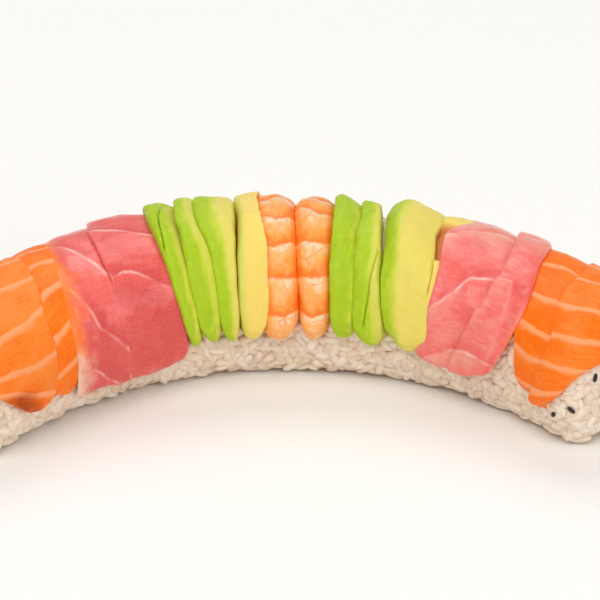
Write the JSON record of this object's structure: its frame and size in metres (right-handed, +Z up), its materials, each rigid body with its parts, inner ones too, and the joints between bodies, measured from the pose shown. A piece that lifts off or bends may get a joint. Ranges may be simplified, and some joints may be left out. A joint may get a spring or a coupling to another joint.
{
  "type": "dragon roll",
  "caption": "Curled sushi roll of white rice, served whole, topped from end to end with overlapping slices of salmon, tuna, avocado and prawn.",
  "frame": {"origin": "middle of the base of the bounding box, on the floor the roll rests on", "axes": "+X along the chord of the curl, to the right as pictured; +Y to the outer side of the curl; +Z up"},
  "size_m": [0.2112, 0.0908, 0.0468],
  "materials": {
    "rice": "moist cooked rice",
    "salmon": "moist raw salmon",
    "tuna": "moist raw tuna",
    "avocado": "ripe cut avocado",
    "avocado_yellow": "ripe avocado cut from near the stone",
    "prawn": "moist cooked prawn"
  },
  "bodies": {
    "root": {"rice_roll": "rice", "salmon_left_outer": "salmon", "salmon_left_inner": "salmon", "tuna_left_outer": "tuna", "tuna_left_inner": "tuna", "avocado_left_1": "avocado", "avocado_left_2": "avocado", "avocado_left_3": "avocado", "avocado_left_4": "avocado_yellow", "prawn_left": "prawn", "prawn_right": "prawn", "avocado_right_1": "avocado", "avocado_right_2": "avocado", "avocado_right_3": "avocado", "avocado_right_4": "avocado_yellow", "tuna_right_inner": "tuna", "tuna_right_outer": "tuna", "salmon_right_inner": "salmon", "salmon_right_outer": "salmon"}
  },
  "joints": []
}
